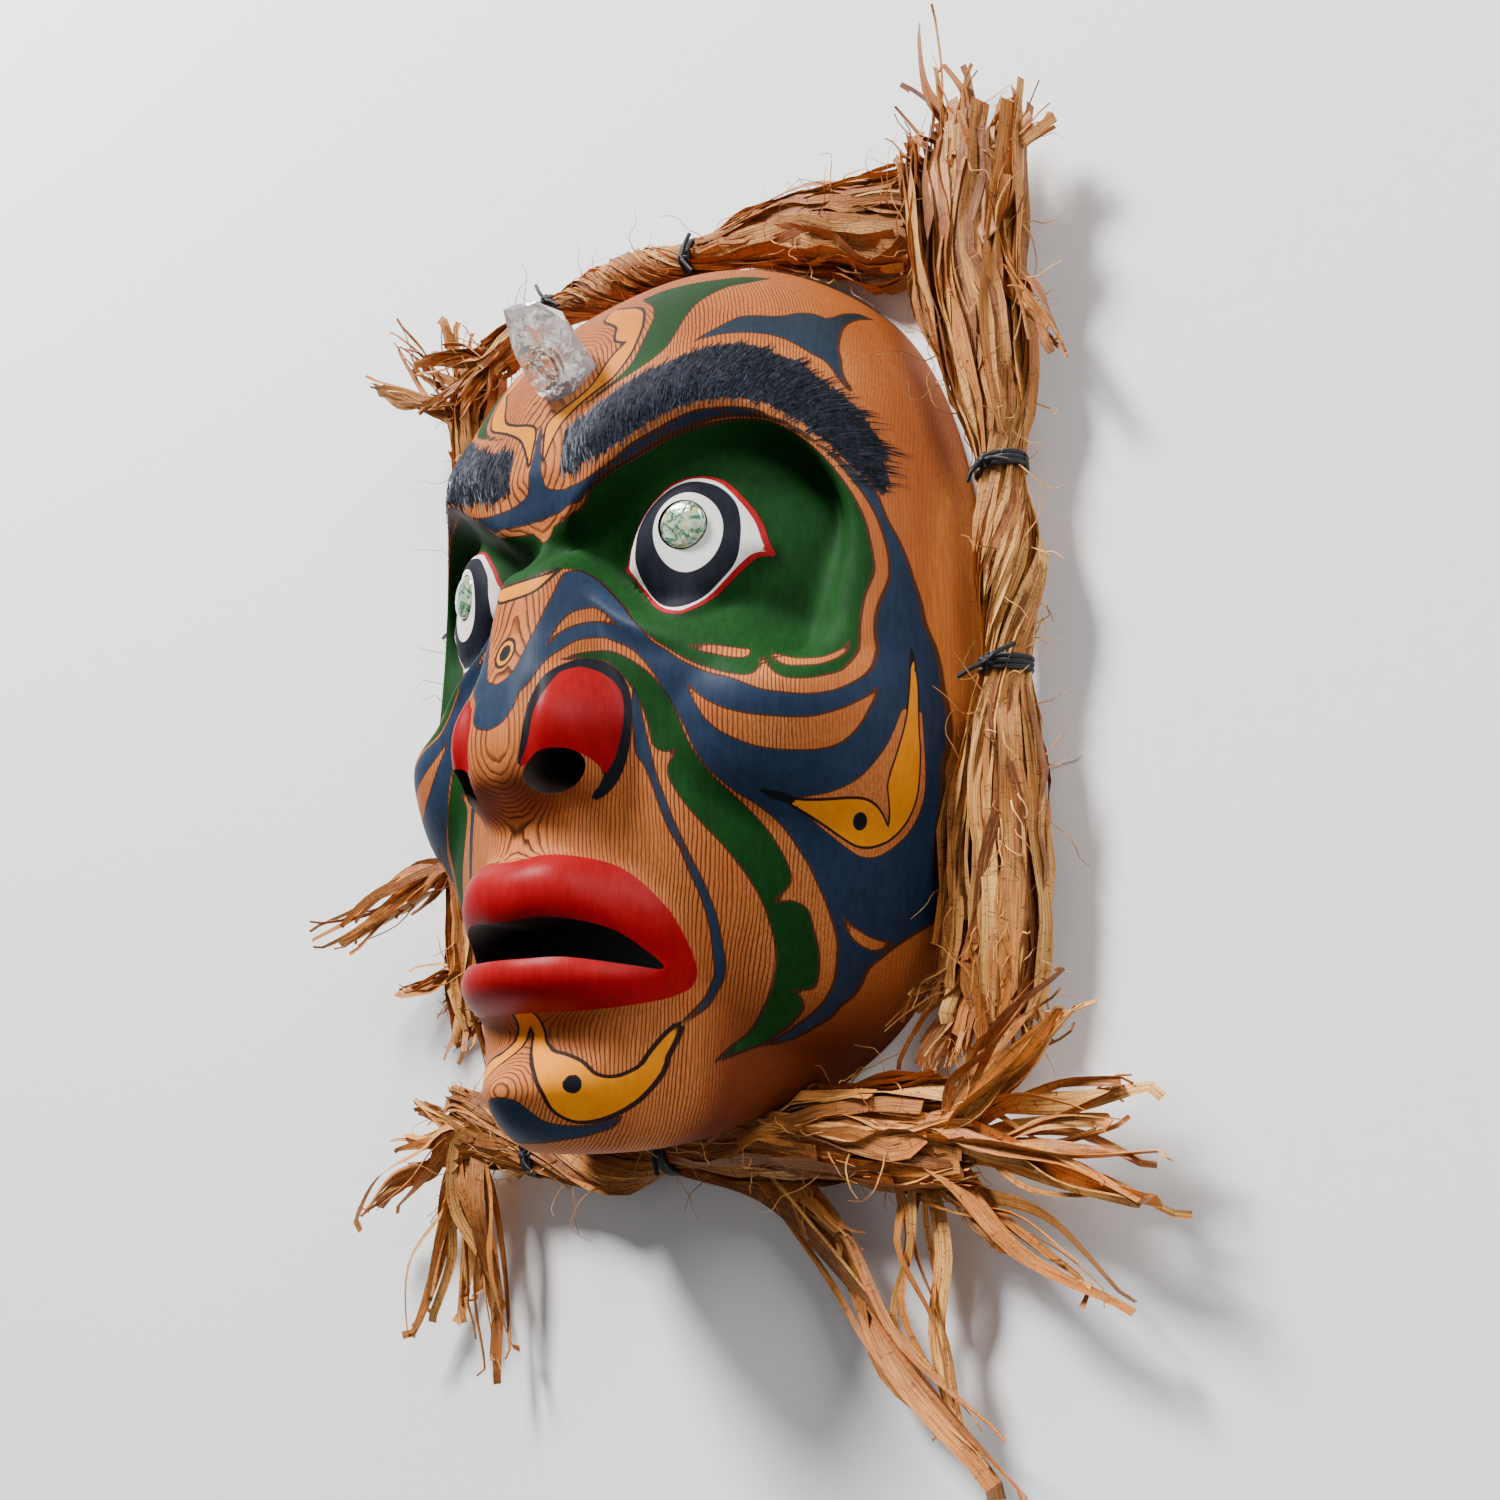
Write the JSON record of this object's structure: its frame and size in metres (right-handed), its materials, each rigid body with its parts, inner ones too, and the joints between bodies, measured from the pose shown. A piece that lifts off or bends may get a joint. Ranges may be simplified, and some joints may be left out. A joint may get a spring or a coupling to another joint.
{
  "type": "carved ceremonial mask",
  "caption": "Hollow carved cedar mask with painted curved bands, shell eye inlays, a quartz crystal on the forehead and tied bark bundles round the rim.",
  "frame": {"origin": "centre of the whole part's box in X and Y, on the floor that the mask's rim lies on", "axes": "+Z out of the face, +Y towards the forehead, +X to the viewer's right when the face is seen upright"},
  "size_m": [0.356, 0.4584, 0.1138],
  "materials": {
    "cedar": "carved, painted in green, blue, yellow, red, black and white with bare wood between, satin",
    "shell": "polished iridescent shell",
    "quartz": "clear natural crystal with inclusions",
    "bark": "dry shredded bark strips, matt",
    "cord": "black waxed cord"
  },
  "bodies": {
    "root": {"carved_mask": "cedar", "shell_inlay_right": "shell", "shell_inlay_left": "shell", "quartz_crystal": "quartz", "bark_bundle_top": "bark", "bark_bundle_right": "bark", "bark_bundle_bottom": "bark", "bark_bundle_left": "bark", "cord_tie_top_1": "cord", "cord_tie_top_2": "cord", "cord_tie_right_1": "cord", "cord_tie_right_2": "cord", "cord_tie_bottom_1": "cord", "cord_tie_bottom_2": "cord", "cord_tie_left_1": "cord", "cord_tie_left_2": "cord"}
  },
  "joints": []
}
